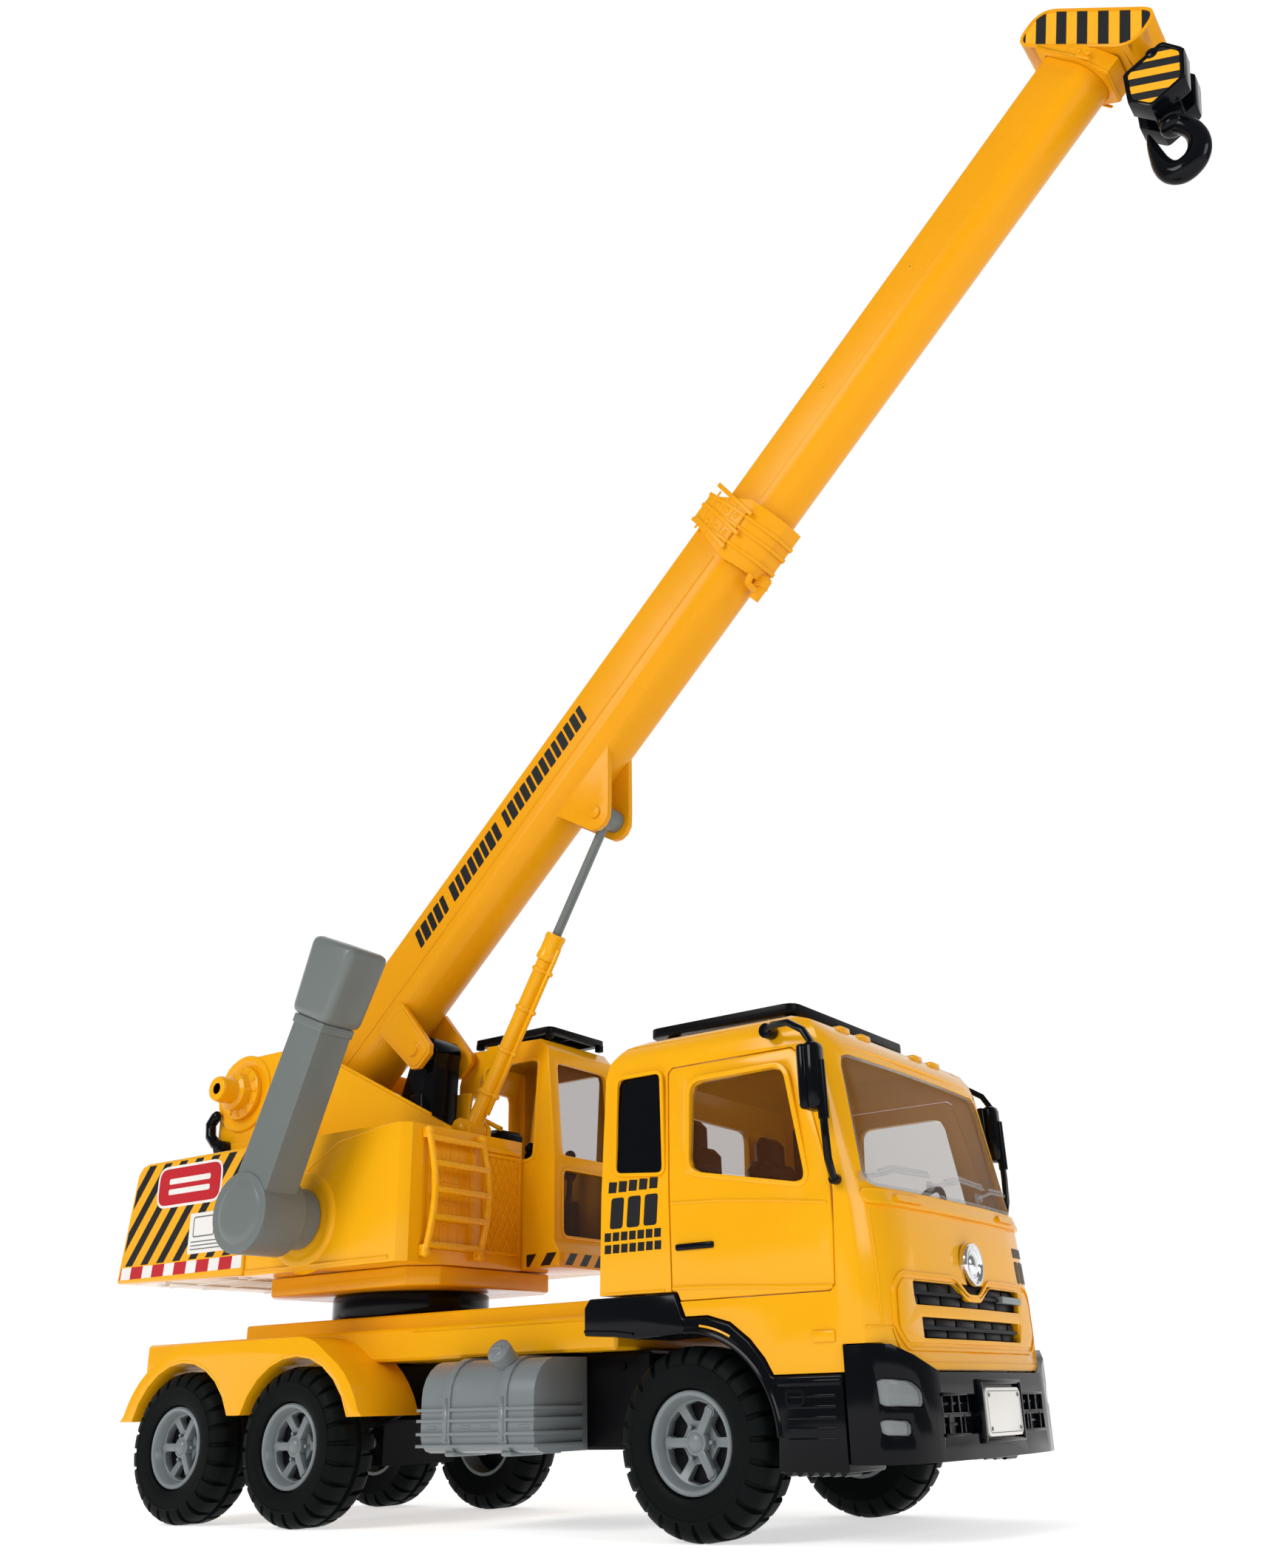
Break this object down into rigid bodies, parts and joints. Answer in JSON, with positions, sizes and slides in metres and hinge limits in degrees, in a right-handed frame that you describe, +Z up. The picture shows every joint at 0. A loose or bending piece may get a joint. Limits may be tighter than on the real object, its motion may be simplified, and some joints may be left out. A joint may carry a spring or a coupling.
{
  "type": "toy crane truck",
  "caption": "Toy telescopic crane truck with slewing turret, luffing and extending boom, lift cylinder, hook, side crank, opening cab doors and rolling wheels.",
  "frame": {"origin": "on the ground, below the centre of the whole toy's bounding box with the boom raised", "axes": "+X forward out of the cab's front, +Y to the truck's left, +Z up"},
  "size_m": [0.7602, 0.2409, 0.8329],
  "materials": {
    "yellow_plastic": "smooth glossy moulded plastic, warm yellow",
    "boom_plastic": "satin moulded plastic, slightly more orange yellow",
    "black_plastic": "glossy black moulded plastic",
    "tyre_rubber": "matt black hollow plastic-rubber tyre",
    "silver_plastic": "silver-grey semi-gloss plastic",
    "crank_grey": "mid grey semi-gloss plastic",
    "chrome_badge": "bright plated",
    "clear_plastic": "clear amber-tinted plastic",
    "lamp_clear": "clear lamp lens",
    "white_plastic": "plain white",
    "charcoal_plastic": "dark charcoal grille"
  },
  "bodies": {
    "chassis": {"chassis_frame": "black_plastic", "turntable_ring": "black_plastic", "quarter_window_right": "black_plastic", "quarter_window_left": "black_plastic", "roof_rack": "black_plastic", "mirror_right": "black_plastic", "mirror_left": "black_plastic", "cab_interior": "black_plastic", "front_arch_right": "black_plastic", "front_arch_left": "black_plastic", "bumper": "black_plastic", "deck": "yellow_plastic", "cab_shell": "yellow_plastic", "fuel_tank_right": "silver_plastic", "fuel_tank_left": "silver_plastic", "badge": "chrome_badge", "windshield": "clear_plastic", "rear_window": "clear_plastic", "headlight_right": "lamp_clear", "headlight_left": "lamp_clear", "fog_light_right": "lamp_clear", "fog_light_left": "lamp_clear", "licence_plate": "white_plastic", "grille": "charcoal_plastic"},
    "wheels_front": {"axle_front": "silver_plastic", "tyre_front_right": "tyre_rubber", "tyre_front_left": "tyre_rubber"},
    "wheels_mid": {"axle_mid": "silver_plastic", "tyre_mid_right": "tyre_rubber", "tyre_mid_left": "tyre_rubber"},
    "wheels_rear": {"axle_rear": "silver_plastic", "tyre_rear_right": "tyre_rubber", "tyre_rear_left": "tyre_rubber"},
    "door_r": {"door_right": "yellow_plastic", "door_window_right": "clear_plastic"},
    "door_l": {"door_left": "yellow_plastic", "door_window_left": "clear_plastic"},
    "steering": {"steering_wheel": "black_plastic"},
    "superstructure": {"turret_body": "yellow_plastic", "turret_base": "yellow_plastic", "counterweight": "yellow_plastic", "winch_housing": "yellow_plastic", "boom_post": "black_plastic", "operator_cab": "yellow_plastic", "operator_windows": "clear_plastic", "operator_seat": "black_plastic", "operator_roof_guard": "black_plastic", "ladder": "yellow_plastic"},
    "boom": {"boom_outer": "boom_plastic", "boom_collar": "boom_plastic"},
    "boom_tip": {"boom_inner": "boom_plastic", "boom_head": "boom_plastic"},
    "hook_block_body": {"hook_block": "black_plastic"},
    "hook_body": {"hook": "black_plastic"},
    "cylinder": {"cylinder_barrel": "yellow_plastic"},
    "rod": {"cylinder_rod": "crank_grey"},
    "crank": {"crank_arm": "crank_grey", "crank_grip": "crank_grey"},
    "drum": {"winch_drum": "yellow_plastic"},
    "lever": {"lock_lever": "black_plastic"}
  },
  "joints": [
    {"name": "slew", "type": "hinge", "parent": "chassis", "child": "superstructure", "pos_m": [-0.204, 0.0135, 0.12], "axis": [0, 0, 1], "continuous": true},
    {"name": "boom_lift", "type": "hinge", "parent": "superstructure", "child": "boom", "pos_m": [-0.19, 0.0135, 0.266], "axis": [0, -1, 0], "range_deg": [-42, 15]},
    {"name": "boom_extend", "type": "slide", "parent": "boom", "child": "boom_tip", "axis": [0.7396, 0, 0.673], "range_m": [-0.3, 0]},
    {"name": "hook_swing", "type": "hinge", "parent": "boom_tip", "child": "hook_block_body", "pos_m": [0.3585, 0.0135, 0.7605], "axis": [0, 1, 0], "range_deg": [-40, 25]},
    {"name": "hook_swivel", "type": "hinge", "parent": "hook_block_body", "child": "hook_body", "pos_m": [0.3585, 0.0135, 0.7205], "axis": [0, 0, 1], "continuous": true},
    {"name": "cylinder_tilt", "type": "hinge", "parent": "superstructure", "child": "cylinder", "pos_m": [-0.159, 0.0135, 0.214], "axis": [0, -1, 0], "range_deg": [-39.5, 14.5]},
    {"name": "rod_slide", "type": "slide", "parent": "cylinder", "child": "rod", "axis": [0.5129, 0, 0.8584], "range_m": [-0.0425, 0.0155]},
    {"name": "crank_turn", "type": "hinge", "parent": "superstructure", "child": "crank", "pos_m": [-0.212, -0.0865, 0.159], "axis": [0, 1, 0], "continuous": true},
    {"name": "drum_turn", "type": "hinge", "parent": "superstructure", "child": "drum", "pos_m": [-0.327, 0.0135, 0.254], "axis": [0, 1, 0], "continuous": true},
    {"name": "lock_lever_turn", "type": "hinge", "parent": "superstructure", "child": "lever", "pos_m": [-0.34, -0.0315, 0.219], "axis": [0, 1, 0], "range_deg": [-30, 10]},
    {"name": "front_wheels_turn", "type": "hinge", "parent": "chassis", "child": "wheels_front", "pos_m": [0.058, 0.0135, 0.04], "axis": [0, 1, 0], "continuous": true},
    {"name": "mid_wheels_turn", "type": "hinge", "parent": "chassis", "child": "wheels_mid", "pos_m": [-0.202, 0.0135, 0.04], "axis": [0, 1, 0], "continuous": true},
    {"name": "rear_wheels_turn", "type": "hinge", "parent": "chassis", "child": "wheels_rear", "pos_m": [-0.297, 0.0135, 0.04], "axis": [0, 1, 0], "continuous": true},
    {"name": "door_right_swing", "type": "hinge", "parent": "chassis", "child": "door_r", "pos_m": [0.1356, -0.0775, 0.15], "axis": [0, 0, 1], "range_deg": [0, 50]},
    {"name": "door_left_swing", "type": "hinge", "parent": "chassis", "child": "door_l", "pos_m": [0.1356, 0.1045, 0.15], "axis": [0, 0, -1], "range_deg": [0, 50]},
    {"name": "steering_turn", "type": "hinge", "parent": "chassis", "child": "steering", "pos_m": [0.1205, 0.0535, 0.1413], "axis": [-0.8412, 0, 0.5408], "range_deg": [-180, 180]}
  ],
  "couplings": [
    {"joint": "cylinder_tilt", "follows": "boom_lift", "ratio": 0.92},
    {"joint": "rod_slide", "follows": "boom_lift", "m_per_rad": 0.05615},
    {"joint": "drum_turn", "follows": "crank_turn", "ratio": 1}
  ]
}
